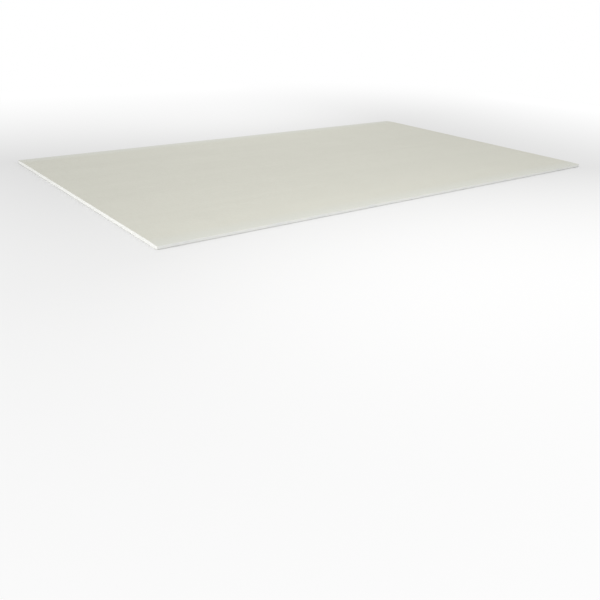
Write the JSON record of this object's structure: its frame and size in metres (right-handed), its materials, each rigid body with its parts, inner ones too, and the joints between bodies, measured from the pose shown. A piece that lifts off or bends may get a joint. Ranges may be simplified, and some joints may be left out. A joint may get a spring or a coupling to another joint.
{
  "type": "drywall sheet",
  "caption": "Rectangular gypsum board wrapped in paper, with both long edges tapered on the face side and the ends cut square.",
  "frame": {"origin": "middle of the back face, which the sheet lies on", "axes": "+X along the long tapered edges, +Y across the width, +Z from the back to the face"},
  "size_m": [2, 1.2, 0.0125],
  "materials": {
    "face_paper": "matte"
  },
  "bodies": {
    "root": {"drywall_sheet": "face_paper"}
  },
  "joints": []
}
